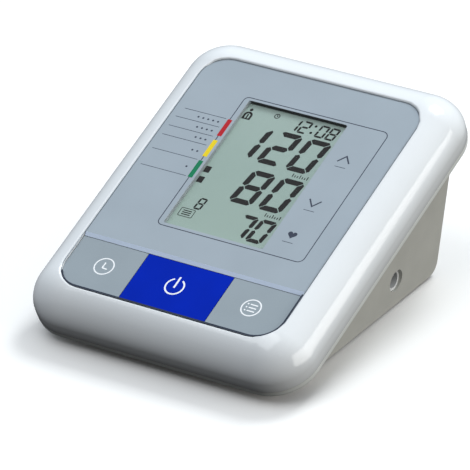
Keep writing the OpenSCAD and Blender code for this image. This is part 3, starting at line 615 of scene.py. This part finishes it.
def reading_symbols():
    """The time's colon, two level marks, a person, a small clock, a boxed list and two short scales."""
    shapes = [dot(8.5, 96.9, 0.55), dot(8.15, 93.5, 0.55)]
    shapes += [rounded(-20.85, -18.45, y, y + 3.0, 0.1, 2) for y in (64.5, 59.4)]
    shapes += [dot(-18.9, 96.9, 0.68), rounded(-19.2, -18.6, 92.6, 94.75, 0.1, 2)]
    shapes += [(arc(-18.9, 94.2, 1.75, 0, 180, 14) + [(-20.65, 92.1), (-17.15, 92.1)],
                arc(-18.9, 94.2, 0.88, 0, 180, 14) + [(-19.78, 92.7), (-18.02, 92.7)])]
    shapes += [ring(-8.0, 97.0, 1.0, 0.34, 32), stroke([(-8.0, 97.6), (-8.0, 97.0), (-7.5, 96.8)], 0.3)]
    shapes += [(rounded(-19.2, -13.2, 43.1, 47.1, 0.6, 4), rounded(-18.95, -13.45, 43.35, 46.85, 0.4, 4))]
    shapes += [level_line(-18.0, -14.4, y, 0.4) for y in (46.0, 45.1, 44.2)]
    for y in (73.2, 53.2):
        for i in range(7):
            x, tall = 12.3 + i, 1.6 if i % 3 == 0 else 1.0
            shapes.append(line(x, y - 0.8, x, y - 0.8 + tall, 0.36))
    return shapes


def moved(shape, dx, dy):
    """The same outline, or ring of two outlines, a little further on."""
    if isinstance(shape, tuple):
        return tuple(moved(loop, dx, dy) for loop in shape)
    return [(x + dx, y + dy) for x, y in shape]


def display_reading():
    shapes = [s for form, y, row in DIGIT_ROWS for char, x in row for s in digit(char, x, y, *form)]
    shapes = [moved(shape, *READING_SHIFT) for shape in shapes + reading_symbols()]
    plates("display_reading", shapes, LCD_Z, "segment", "housing", BOLD_PRINT)


# Trim of the window and the inset, and painted shade in the window's cut-out, the inset's gap and the
# socket's bore
def window_liner():
    """The shaded wall of the window's cut-out."""
    cx, cy, w, l = WINDOW
    corners = ((-1, -1), (1, -1), (1, 1), (-1, 1))
    outer, inner = ([(cx + sx * (w / 2 - t), cy + sy * (l / 2 - t)) for sx, sy in corners] for t in (0, 0.12))
    plates("window_liner", [(outer, inner)], LCD_Z, "liner", "housing", -LCD_Z - 0.02)


def window_corners(steps=10):
    """Small fillets that round the window's corners."""
    cx, cy, w, l = WINDOW
    shapes = []
    for sx, sy in ((1, 1), (-1, 1), (-1, -1), (1, -1)):
        x, y = cx + sx * w / 2, cy + sy * l / 2
        curve = [(x - sx * WINDOW_R * (1 - math.cos(a)), y - sy * WINDOW_R * (1 - math.sin(a)))
                 for a in (math.radians(90 * i / steps) for i in range(steps + 1))]
        shapes.append([(x, y)] + (curve if sx * sy > 0 else curve[::-1]))
    plates("window_corners", shapes, -PANEL_T, "panel", "housing", PANEL_T)


def painted_shade_black():
    """A black strip on the cut-out's upper wall, as deep as the cut-out: painted shade of that wall."""
    cx, cy, w, l = WINDOW
    rear = cy + l / 2
    strip = rounded(cx - w / 2, cx + w / 2, rear - 0.2, rear, 0.05, 2)
    plates("painted_shade_black", [strip], LCD_Z, "shade_black", "housing", -LCD_Z - 0.01)


def seal_and_gap_shade():
    """The bead between the rim and the sunk face, pale all round, and a dark strip along the keys' front that
    is painted shade of the gap there.
    """
    half, n = INSET_W / 2, 24
    outer, inner = (rounded(-half - k, half + k, -k, INSET_L + k, INSET_R + k, n) for k in (0.1, -0.12))
    plates("inset_seal", [(outer, inner)], 0.02, "seal", "housing", 0.14)
    # The dark strip: painted shade along the keys' front edge
    pull, width, z, thick = 0.22, 0.62, -0.5, 0.68
    half, r = half - pull, INSET_R - pull
    path = arc(-half + r, pull + r, r, 210, 270, 20) + arc(half - r, pull + r, r, 270, 360, 24)
    plates("key_gap_shade", [stroke(path + [(half, PANEL_Y)], width)], z, "key_gap_shade", "housing", thick)


def socket_shade_sleeve(steps=48):
    """A black sleeve deep in the hose socket's bore: painted shade of the bore's depth."""
    (x0, x1), hole, bore, out = SHADE_SLEEVE_X, SHADE_SLEEVE_HOLE_R, SHADE_SLEEVE_BORE_R, SHADE_SLEEVE_R
    floor_x = x0 + 0.08
    section = [(x0, hole), (x0, out), (x1, out), (x1, bore), (floor_x, bore), (floor_x, hole)]
    n = len(section)
    verts = [Vector((x, SOCKET_Y + r * math.cos(a), SOCKET_Z + r * math.sin(a))) * MM
             for a in (2 * math.pi * i / steps for i in range(steps)) for x, r in section]
    faces = [(i * n + k, i * n + (k + 1) % n, (i + 1) % steps * n + (k + 1) % n, (i + 1) % steps * n + k)
             for i in range(steps) for k in range(n)]
    make("socket_shade_sleeve", verts, faces, "shade_black", "housing", smooth=40)


# Floor, light, camera
def floor():
    mesh = bpy.data.meshes.new("floor")
    s = FLOOR_HALF
    mesh.from_pydata([(-s, -s, 0), (s, -s, 0), (s, s, 0), (-s, s, 0)], [], [(0, 1, 2, 3)])
    mat, nodes, links, shader = new_material("floor")
    drift = noise(nodes, links, 3, 2.0)
    links.new(ramp(nodes, links, drift, [(0.3, (0.98, 0.965, 0.945, 1)), (0.7, (0.99, 0.975, 0.955, 1))]),
              shader.inputs["Base Color"])
    shader.inputs["Roughness"].default_value = 0.7
    shader.inputs["Specular IOR Level"].default_value = 0.2
    mesh.materials.append(mat)
    obj = bpy.data.objects.new("floor", mesh)
    SCENE.collection.objects.link(obj)
    # It throws no light back up, because the photographed rim turns dark towards the floor
    obj.visible_diffuse = obj.visible_glossy = False


def studio():
    """A white surround that is brightest above, behind and to the left, and dim low in front."""
    world = bpy.data.worlds.new("studio")
    world.use_nodes = True
    nodes, links = world.node_tree.nodes, world.node_tree.links
    back = nodes["Background"]
    co = nodes.new("ShaderNodeTexCoord")
    toward = nodes.new("ShaderNodeVectorMath")
    toward.operation = "DOT_PRODUCT"
    toward.inputs[1].default_value = (-0.35, 0.5, 1.0)
    links.new(co.outputs["Generated"], toward.inputs[0])
    colour = ramp(nodes, links, toward.outputs["Value"],
                  [(0.0, (0.03, 0.03, 0.03, 1)), (0.12, (0.3, 0.31, 0.33, 1)), (1.0, (0.84, 0.92, 1.0, 1))])
    links.new(colour, back.inputs[0])
    back.inputs[1].default_value = WORLD_POWER
    SCENE.world = world


def lamps():
    for name, (where, size, power, colour) in LIGHTS.items():
        data = bpy.data.lights.new(name, "AREA")
        data.shape = "RECTANGLE"
        data.size, data.size_y = size
        data.energy = power
        data.color = colour
        obj = bpy.data.objects.new(name, data)
        obj.location = where
        obj.rotation_mode = "QUATERNION"
        obj.rotation_quaternion = (LIGHT_AIM - Vector(where)).to_track_quat("-Z", "Y")
        SCENE.collection.objects.link(obj)


def camera():
    data = bpy.data.cameras.new("camera")
    data.lens, data.sensor_width = CAMERA_LENS, CAMERA_SENSOR
    data.clip_start, data.clip_end = 0.05, 50
    obj = bpy.data.objects.new("camera", data)
    SCENE.collection.objects.link(obj)
    forward = Vector(CAMERA_FORWARD).normalized()
    right = forward.cross(Vector(CAMERA_UP)).normalized()
    up = right.cross(forward).normalized()
    turn = Matrix((right, up, -forward)).transposed()
    obj.matrix_world = Matrix.Translation(CAMERA_PLACE) @ turn.to_4x4()
    SCENE.camera = obj


dress_nodes()
build_rim()
panel_bevel()
panel_print()
key_symbols()
display_reading()
window_liner()
window_corners()
painted_shade_black()
seal_and_gap_shade()
socket_shade_sleeve()
floor()
studio()
lamps()
camera()
SCENE.view_settings.view_transform = "Standard"

bpy.context.view_layer.update()
